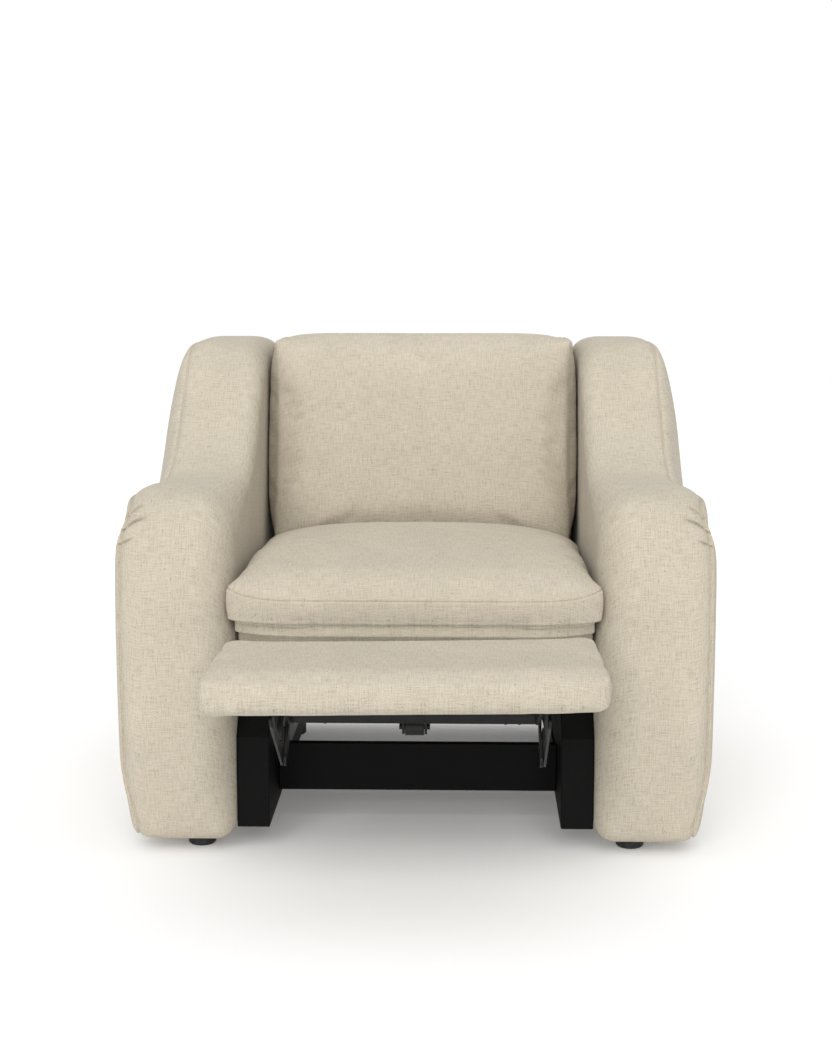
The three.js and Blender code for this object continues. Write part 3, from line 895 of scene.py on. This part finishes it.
def shaped_lip(co):
    """A flat nose that turns down over the front rail."""
    x, y, z = co.T
    turn = fade(y, RAIL_FRONT - 18, RAIL_FRONT - 4)
    low = z < 394
    z = z - np.where(low, 37 * turn, 0)
    pull = np.abs(x) / 300
    z = z + np.where(low, 0, 17 * (1 - fade(y, 30, 80)))
    y = y + (1 - fade(y, -16, 60)) * 46 * pull ** 7
    return np.stack([x, y, z], 1)


lip = block("seat_deck_lip", (-LIP_HALF, LIP_FRONT, LIP_TOP - 14),
            (LIP_HALF, RAIL_FRONT - 0.6, LIP_TOP), 30)
set_points(lip, to_frame(shaped_lip(points_of(lip))))
remesh(lip, 0.004)
relax(lip, 4)
refine(lip)
lay_cloth(lip)
finish_piece(lip, linen, "carriage")

# %% [markdown]
# The back cushion leans between the wings. Its face is nearly flat and rolls back at the sides to a
# seam just out of sight, and small ears stand at the corners where the panels meet.

# %% Back cushion
BACK_LOW, BACK_HIGH = (to_chair(np.array(corner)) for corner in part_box("back_cushion"))
BACK_HALF = BACK_HIGH[0]
EARS = ((1, 848, 657, 8), (-1, 848, 657, 10), (1, 462, 566, -6), (-1, 462, 566, -6))
EAR_ACROSS, EAR_SIZE, EAR_OUT = 296, 13.0, 4
BACK_BLOCK = 100


def back_face(z):
    """Depth of the cushion's front face at a height: upright low down, leaning back higher up."""
    return BACK_LOW[1] - 1 + 59 * np.clip((z - 470) / 305, 0, 2) ** 1.5


def shaped_back(co):
    x, y, z = co.T
    share = y / BACK_BLOCK
    rear = 696 + 0.26 * (z - BACK_LOW[2])
    pull = np.abs(x) / (BACK_HALF - 5)
    rise = (z - BACK_LOW[2]) / (BACK_HIGH[2] - BACK_LOW[2])
    roll = 16 * pull ** 12 + 12 * np.clip(rise, 0, 1) ** 16 + 6 * (1 - np.clip(rise, 0, 1)) ** 12
    depth = back_face(z) + 8 + roll * (1 - share)
    depth = depth + share * (rear - depth)
    up = z + 4 * (1 - pull ** 4) * np.clip(rise, 0, 1) ** 8 - 5
    return np.stack([x, depth, up], 1)


def back_seam(p):
    return p[:, 1] - (back_face(p[:, 2]) + 58)


back = block("back_cushion_upholstery", (5 - BACK_HALF, 0, BACK_LOW[2] + 8),
             (BACK_HALF - 5, BACK_BLOCK, BACK_HIGH[2]), 40)
set_points(back, to_frame(shaped_back(points_of(back))))
make_bag(back, 0.007, 3.5, 0.012)
BACK_ROOM = ((2.5 - ARM_INNER, BACK_LOW[1] - 3, BACK_LOW[2] - 2),
             (ARM_INNER - 2.5, BACK_HIGH[1] - 14, BACK_HIGH[2] - 3))
back_shape = fit_between(to_chair(points_of(back)), *BACK_ROOM)
for side, up, depth, lift in EARS:
    ear = np.exp(-((back_shape[:, 0] - side * EAR_ACROSS) ** 2 + (back_shape[:, 2] - up) ** 2
                   + (0.7 * (back_shape[:, 1] - depth)) ** 2) / EAR_SIZE ** 2)
    back_shape[:, 0] += side * ear * EAR_OUT
    back_shape[:, 2] += ear * lift
set_points(back, to_frame(back_shape))
sew(back, back_seam, plain_seam)
lay_cloth(back)
finish_piece(back, linen, "back", 0, ["back_cushion"])
print("back box, mm:", back_shape.min(0).round(), back_shape.max(0).round(), len(back.data.polygons))

# %% [markdown]
# The footrest is a board wrapped in foam and linen, so one soft piece stands for the pad and its board.
# Its cloth is pulled down over the edges, with small tucks at the two front corners.

# %% Footrest
REST_LOW, REST_HIGH = (to_chair(np.array(corner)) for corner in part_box("footrest_pad"))
BOARD_UNDER = to_chair(np.array(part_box("footrest_board")[0]))[2]
REST_HALF = REST_HIGH[0]
CROOKED = 0.014
REST_CORNER = (286, -352, 338)
CORNER_SIZE, CORNER_DROOP, CORNER_OUT = 17.0, 4.5, 2.5


def shaped_rest(co):
    x, y, z = co.T
    pull = np.abs(x) / REST_HALF
    share = np.clip((z - BOARD_UNDER) / (REST_HIGH[2] - BOARD_UNDER), 0, 1)
    front = 1 - fade(y, REST_LOW[1] + 4, REST_LOW[1] + 70)
    z = z + (1 - share) * 11 * front + share * 6 * pull ** 4
    z = z - share * 10 * (1 - fade(y, REST_LOW[1] - 6, REST_LOW[1] + 52))
    y = y + front * 16 * pull ** 8 - front * 3 * np.sin(math.pi * share)
    x = x * (1 - 0.02 * (1 - fade(-y, 100, 260)) * pull ** 4)
    return np.stack([x, y, z], 1)


rest = block("footrest_upholstery", (4 - REST_HALF, REST_LOW[1] + 4, BOARD_UNDER + 1),
             (REST_HALF - 4, REST_HIGH[1] - 4, REST_HIGH[2] - 6), 36)
set_points(rest, to_frame(shaped_rest(points_of(rest))))
make_bag(rest, 0.006, 3.5, 0.009)
REST_ROOM = ((-REST_HALF - 15, REST_LOW[1] - 3, BOARD_UNDER + 3.3),
             (REST_HALF + 5, REST_HIGH[1], REST_HIGH[2] + 4))
rest_shape = fit_between(to_chair(points_of(rest)), *REST_ROOM)
rest_shape[:, 2] += CROOKED * (rest_shape[:, 0] + REST_HALF)
for side in (-1, 1):
    off_corner = rest_shape - np.array(REST_CORNER) * (side, 1, 1)
    droop = np.exp(-(off_corner ** 2).sum(1) / CORNER_SIZE ** 2)
    rest_shape[:, 2] -= CORNER_DROOP * droop
    rest_shape[:, 0] += side * CORNER_OUT * droop
set_points(rest, to_frame(rest_shape))
lay_cloth(rest)
finish_piece(rest, linen, "footrest", 0, ["footrest_pad", "footrest_board"])
print("rest box, mm:", rest_shape.min(0).round(), rest_shape.max(0).round(), len(rest.data.polygons))

# %% [markdown]
# ## Outer back and skirt
# The outer back is a shell of linen over card that closes the frame from behind, open at the front and
# below. A cube loses those two faces, its rear top edge is rounded, and Solidify gives it thickness.

# %% Outer back
COVER_LOW, COVER_HIGH = (to_chair(np.array(corner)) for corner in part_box("back_cover"))
COVER_HALF = COVER_HIGH[0]
COVER_FRONT_TOP = 784
COVER_FRONT_LOW = 690


def outer_back_form():
    """The open shell, before it gets its thickness."""
    form = bmesh.new()
    bmesh.ops.create_cube(form, size=1.0)
    for vert in form.verts:
        rear, top = vert.co.y > 0, vert.co.z > 0
        front_depth = COVER_FRONT_TOP if top else COVER_FRONT_LOW
        vert.co = (math.copysign(COVER_HALF - 0.5, vert.co.x), COVER_HIGH[1] if rear else front_depth,
                   COVER_HIGH[2] - 12 if top else COVER_LOW[2])
    form.normal_update()
    open_faces = [f for f in form.faces if f.normal.y < -0.7 or f.normal.z < -0.9]
    bmesh.ops.delete(form, geom=open_faces, context="FACES")
    brow = [e for e in form.edges if all(v.co.y > 930 and v.co.z > 800 for v in e.verts)]
    bmesh.ops.bevel(form, geom=brow, offset=62, segments=8, profile=0.5, affect="EDGES", material=-1)
    sides = [e for e in form.edges
             if len(e.link_faces) == 2 and e.calc_face_angle(0.0) > 1.0]
    bmesh.ops.bevel(form, geom=sides, offset=12, segments=4, profile=0.5, affect="EDGES", material=-1)
    for _ in range(5):
        long_edges = [e for e in form.edges if e.calc_length() > 24]
        if long_edges:
            bmesh.ops.subdivide_edges(form, edges=long_edges, cuts=1, use_grid_fill=True)
    bmesh.ops.triangulate(form, faces=[f for f in form.faces if len(f.verts) > 4])
    return form


def shell_piece(name, form, thickness):
    """Turns a form in chair millimetres into a piece with a wall."""
    mesh = bpy.data.meshes.new(name)
    form.to_mesh(mesh)
    form.free()
    piece = bpy.data.objects.new(name, mesh)
    scene.collection.objects.link(piece)
    set_points(piece, to_frame(points_of(piece)))
    if thickness:
        wall = piece.modifiers.new("wall", "SOLIDIFY")
        wall.thickness = thickness
        wall.offset = -1.0
        apply_modifiers(piece)
    return piece


def cover_seam(p):
    """Seams run down both sides of the rear panel."""
    return np.where(p[:, 1] > COVER_FRONT_TOP + 12, np.abs(np.abs(p[:, 0]) - (COVER_HALF - 18)), 99)


outer_back = shell_piece("outer_back_upholstery", outer_back_form(), 0.009)
refine(outer_back)
sew(outer_back, cover_seam, plain_seam)
lay_cloth(outer_back)
finish_piece(outer_back, linen, "back", 0, ["back_cover"])
print("outer back faces:", len(outer_back.data.polygons))

# %% [markdown]
# Below it a fixed skirt panel closes the base between the two arms.

# %% Rear skirt
SKIRT_LOW, SKIRT_HIGH = (to_chair(np.array(corner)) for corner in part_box("rear_skirt"))
skirt_form = bmesh.new()
bmesh.ops.create_cube(skirt_form, size=1.0)
bmesh.ops.scale(skirt_form, vec=Vector(SKIRT_HIGH - SKIRT_LOW), verts=skirt_form.verts)
bmesh.ops.translate(skirt_form, vec=Vector((SKIRT_HIGH + SKIRT_LOW) / 2), verts=skirt_form.verts)
bmesh.ops.bevel(skirt_form, geom=skirt_form.edges[:], offset=4, segments=3, profile=0.5, affect="EDGES",
                material=-1)
for _ in range(5):
    bmesh.ops.subdivide_edges(skirt_form, edges=[e for e in skirt_form.edges if e.calc_length() > 20],
                              cuts=1, use_grid_fill=True)
bmesh.ops.triangulate(skirt_form, faces=[f for f in skirt_form.faces if len(f.verts) > 4])
skirt = shell_piece("rear_skirt_upholstery", skirt_form, 0.0)


def hem(p):
    return np.where(np.abs(p[:, 0]) < SKIRT_HIGH[0] - 6, p[:, 2] - (SKIRT_LOW[2] + 22), 99)


sew(skirt, hem, plain_seam)
lay_cloth(skirt)
finish_piece(skirt, linen, "base", 0, ["rear_skirt"])

# %% [markdown]
# ## Bolts
# Three hexagon bolts stand under the drive tube, where the links' brackets are fixed. A cone with six
# segments and equal radii is a hexagon bar; its rim is bevelled as a forged head is.

# %% Bolts under the drive tube
TUBE_SIZE = 22
TUBE_LEAN = math.radians(31.4)
TUBE_REACH = TUBE_SIZE / 2 * (math.cos(TUBE_LEAN) + math.sin(TUBE_LEAN))
TUBE_CORNER = to_chair(np.array(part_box("drive_tube")[1]))
TUBE_CENTRE = Vector((0, TUBE_CORNER[1] - TUBE_REACH, TUBE_CORNER[2] - TUBE_REACH))
BOLT_ACROSS = (-152, 154, 177)
BOLT_FLATS = 13.0


def hexagon_bolt(name, across):
    """A bolt with a washer, hanging from the underside of the leaning tube."""
    form = bmesh.new()
    radius = BOLT_FLATS / math.sqrt(3)
    washer = bmesh.ops.create_cone(form, cap_ends=True, segments=28, radius1=11, radius2=11, depth=1.8)
    bmesh.ops.translate(form, vec=(0, 0, -0.9), verts=washer["verts"])
    head = bmesh.ops.create_cone(form, cap_ends=True, segments=6, radius1=radius, radius2=radius, depth=8)
    bmesh.ops.translate(form, vec=(0, 0, -5.8), verts=head["verts"])
    rim = [e for e in form.edges if abs(e.calc_length() - radius) < 0.1 and e.verts[0].co.z < -9]
    bmesh.ops.bevel(form, geom=rim, offset=0.9, segments=2, profile=0.5, affect="EDGES", material=-1)
    bmesh.ops.translate(form, vec=(0, 0, -TUBE_SIZE / 2), verts=form.verts)
    bmesh.ops.rotate(form, matrix=Matrix.Rotation(TUBE_LEAN, 3, "X"), verts=form.verts)
    bmesh.ops.translate(form, vec=TUBE_CENTRE + Vector((across, 0, 0)), verts=form.verts)
    bolt = shell_piece(name, form, 0.0)
    return finish_piece(bolt, FINISHES["black_steel"], "drive")


for number, across in enumerate(BOLT_ACROSS, 1):
    hexagon_bolt(f"drive_bolt_{number}", across)

# %% [markdown]
# ## Floor
# A pale floor that runs away into the background.

# %% Floor
FLOOR_HALF = 12.0
FLOOR_WHITE = 0.86
FLOOR_GLOW = 0.13
floor_shape = bmesh.new()
bmesh.ops.create_grid(floor_shape, x_segments=1, y_segments=1, size=FLOOR_HALF)
floor_mesh = bpy.data.meshes.new("studio_floor")
floor_shape.to_mesh(floor_mesh)
floor_shape.free()
floor = bpy.data.objects.new("studio_floor", floor_mesh)
scene.collection.objects.link(floor)
floor_paint, floor_shader = new_material("white_sweep")
floor_shader.inputs["Base Color"].default_value = (FLOOR_WHITE, FLOOR_WHITE, FLOOR_WHITE, 1)
floor_shader.inputs["Roughness"].default_value = 0.9
floor_shader.inputs["Specular IOR Level"].default_value = 0.0
floor_shader.inputs["Emission Color"].default_value = (1, 1, 1, 1)
floor_shader.inputs["Emission Strength"].default_value = FLOOR_GLOW
floor.data.materials.append(floor_paint)
